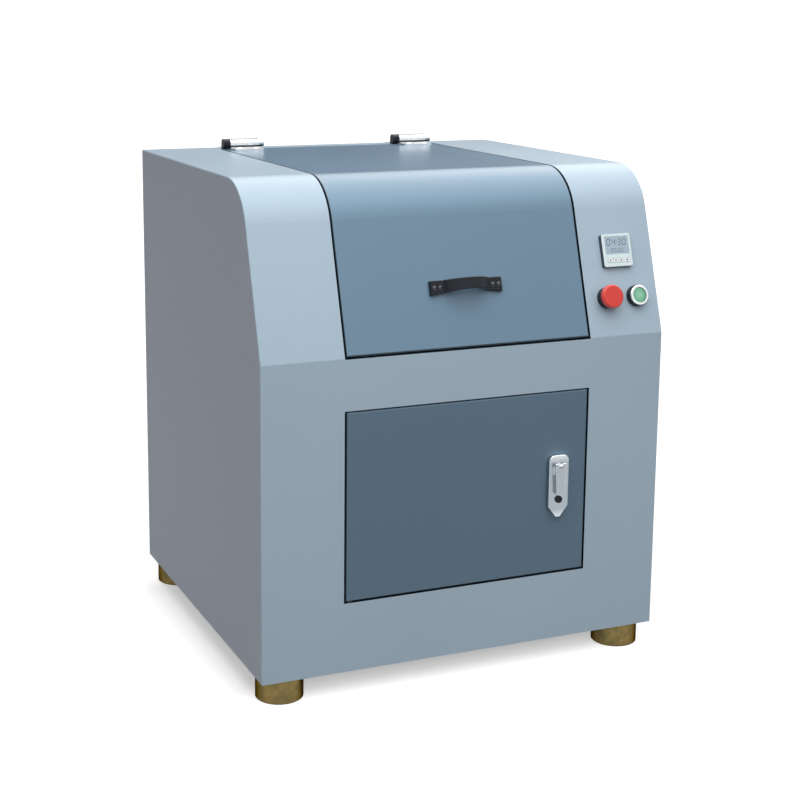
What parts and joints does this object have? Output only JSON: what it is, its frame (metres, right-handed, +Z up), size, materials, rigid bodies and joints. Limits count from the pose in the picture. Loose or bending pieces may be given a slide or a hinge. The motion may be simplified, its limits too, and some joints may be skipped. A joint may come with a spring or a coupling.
{
  "type": "vibrating disc mill",
  "caption": "Floor-standing lab mill: sheet-steel cabinet with hinged lid, lockable door, timer, push buttons and a sprung motor table that shakes a clamped grinding bowl.",
  "frame": {"origin": "on the floor, under the middle of the overall box", "axes": "+Z up, the front with door and controls faces -Y, +X to the right seen from the front"},
  "size_m": [0.62, 0.6088, 0.7345],
  "materials": {
    "cover_paint": "light blue-grey powder coat, satin gloss",
    "side_paint": "grey powder coat, fine texture",
    "lid_paint": "blue-grey gloss paint",
    "door_paint": "dark slate powder coat",
    "frame_steel": "dark primer",
    "zinc_yellow": "yellow passivated zinc on turned steel",
    "bright_steel": "turned or ground",
    "spring_steel": "oiled",
    "chrome": "polished",
    "black_plastic": "fine grain",
    "timer_plastic": "light grey moulding",
    "display": "tinted window",
    "key_white": "white keys",
    "red_cap": "red",
    "green_cap": "green",
    "seal_rubber": "black EPDM",
    "foam": "open-cell sound foam",
    "cast_iron": "painted casting",
    "hard_steel": "hardened and ground"
  },
  "bodies": {
    "cabinet": {"front_cover": "cover_paint", "left_side_panel": "side_paint", "right_side_panel": "side_paint", "rear_panel": "side_paint", "base_plate": "frame_steel", "cabinet_feet": "zinc_yellow", "foot_bolts": "zinc_yellow", "frame_posts": "frame_steel", "chamber_floor": "cover_paint", "chamber_walls": "cover_paint", "lid_seal": "seal_rubber", "rail_hinge_leaves": "chrome", "hinge_end_blocks": "black_plastic", "hinge_pins": "bright_steel", "rail_leaf_screws": "chrome", "door_hinge_pins": "bright_steel", "timer_case": "timer_plastic", "timer_window": "display", "stop_button_collar": "black_plastic", "start_button_collar": "black_plastic", "start_button_ring": "chrome", "contact_blocks": "black_plastic", "electrical_plate": "bright_steel", "contactor": "timer_plastic", "cable_gland": "black_plastic", "spring_deck": "frame_steel"},
    "lid": {"lid_shell": "lid_paint", "lid_liner": "foam", "lid_handle": "black_plastic", "handle_screws": "bright_steel", "lid_hinge_leaves": "chrome", "lid_leaf_screws": "chrome"},
    "door": {"door_panel": "door_paint", "lock_housing": "chrome"},
    "lock_button": {"lock_button": "black_plastic"},
    "lock_spindle": {"lock_spindle": "chrome", "lock_cam": "bright_steel"},
    "lock_lever": {"lock_lever": "chrome"},
    "stop_button": {"stop_button_cap": "red_cap"},
    "start_button": {"start_button_cap": "green_cap"},
    "vibrating_table": {"spring_plate": "cast_iron", "bowl_seat": "cast_iron", "table_springs": "spring_steel", "guide_studs": "bright_steel", "motor_housing": "cast_iron", "motor_bearings": "hard_steel", "grinding_bowl": "hard_steel", "bowl_lid": "hard_steel", "clamp_posts": "bright_steel"},
    "motor_rotor": {"motor_rotor": "hard_steel", "eccentric_weight": "cast_iron"},
    "grinding_ring": {"grinding_ring": "hard_steel"},
    "grinding_puck": {"grinding_puck": "hard_steel"},
    "clamp_bar": {"clamp_bar": "cast_iron"},
    "cam_lever": {"cam_lever": "chrome"},
    "clamp_plunger": {"clamp_plunger": "bright_steel"},
    "timer_key_1": {"timer_key_1": "key_white"},
    "timer_key_2": {"timer_key_2": "key_white"},
    "timer_key_3": {"timer_key_3": "key_white"},
    "timer_key_4": {"timer_key_4": "key_white"}
  },
  "joints": [
    {"name": "lid_hinge", "type": "hinge", "parent": "cabinet", "child": "lid", "pos_m": [0, 0.24715, 0.727], "axis": [-1, 0, 0], "range_deg": [0, 95]},
    {"name": "door_hinge", "type": "hinge", "parent": "cabinet", "child": "door", "pos_m": [-0.1805, -0.2846, 0.136], "axis": [0, 0, -1], "range_deg": [0, 110]},
    {"name": "lock_button_press", "type": "slide", "parent": "door", "child": "lock_button", "axis": [0, 1, 0], "range_m": [0, 0.0025], "stiffness_N_per_m": 400, "springref_m": -0.002},
    {"name": "lock_turn", "type": "hinge", "parent": "door", "child": "lock_spindle", "pos_m": [0.1395, -0.2896, 0.294], "axis": [0, -1, 0], "range_deg": [0, 90]},
    {"name": "lever_lift", "type": "hinge", "parent": "lock_spindle", "child": "lock_lever", "pos_m": [0.1395, -0.30165, 0.3024], "axis": [-1, 0, 0], "range_deg": [0, 45]},
    {"name": "stop_press", "type": "slide", "parent": "cabinet", "child": "stop_button", "axis": [0, 0.9537, -0.3007], "range_m": [0, 0.004], "stiffness_N_per_m": 500, "springref_m": -0.002},
    {"name": "start_press", "type": "slide", "parent": "cabinet", "child": "start_button", "axis": [0, 0.9537, -0.3007], "range_m": [0, 0.002], "stiffness_N_per_m": 500, "springref_m": -0.002},
    {"name": "timer_key_1_press", "type": "slide", "parent": "cabinet", "child": "timer_key_1", "axis": [0, 0.9537, -0.3007], "range_m": [0, 0.0005], "stiffness_N_per_m": 400, "springref_m": -0.001},
    {"name": "timer_key_2_press", "type": "slide", "parent": "cabinet", "child": "timer_key_2", "axis": [0, 0.9537, -0.3007], "range_m": [0, 0.0005], "stiffness_N_per_m": 400, "springref_m": -0.001},
    {"name": "timer_key_3_press", "type": "slide", "parent": "cabinet", "child": "timer_key_3", "axis": [0, 0.9537, -0.3007], "range_m": [0, 0.0005], "stiffness_N_per_m": 400, "springref_m": -0.001},
    {"name": "timer_key_4_press", "type": "slide", "parent": "cabinet", "child": "timer_key_4", "axis": [0, 0.9537, -0.3007], "range_m": [0, 0.0005], "stiffness_N_per_m": 400, "springref_m": -0.001},
    {"name": "table_bounce", "type": "slide", "parent": "cabinet", "child": "vibrating_table", "axis": [0, 0, 1], "range_m": [-0.006, 0], "stiffness_N_per_m": 60000, "springref_m": 0.0153, "deforming": ["table_springs"]},
    {"name": "motor_spin", "type": "hinge", "parent": "vibrating_table", "child": "motor_rotor", "pos_m": [0, -0.02373, 0.132], "axis": [0, 0, 1], "continuous": true},
    {"name": "ring_throw", "type": "slide", "parent": "vibrating_table", "child": "grinding_ring", "axis": [1, 0, 0], "range_m": [-0.014, 0.014]},
    {"name": "puck_throw", "type": "slide", "parent": "grinding_ring", "child": "grinding_puck", "axis": [0, 1, 0], "range_m": [-0.0125, 0.0125]},
    {"name": "clamp_swing", "type": "hinge", "parent": "vibrating_table", "child": "clamp_bar", "pos_m": [-0.1, -0.02373, 0.5483], "axis": [0, 0, -1], "range_deg": [0, 60]},
    {"name": "cam_lift", "type": "hinge", "parent": "clamp_bar", "child": "cam_lever", "pos_m": [0, -0.02373, 0.582], "axis": [0, -1, 0], "range_deg": [0, 90]},
    {"name": "plunger_slide", "type": "slide", "parent": "clamp_bar", "child": "clamp_plunger", "axis": [0, 0, 1], "range_m": [0, 0.0015]}
  ],
  "couplings": [
    {"joint": "plunger_slide", "follows": "cam_lift", "m_per_rad": 0.0009549}
  ]
}
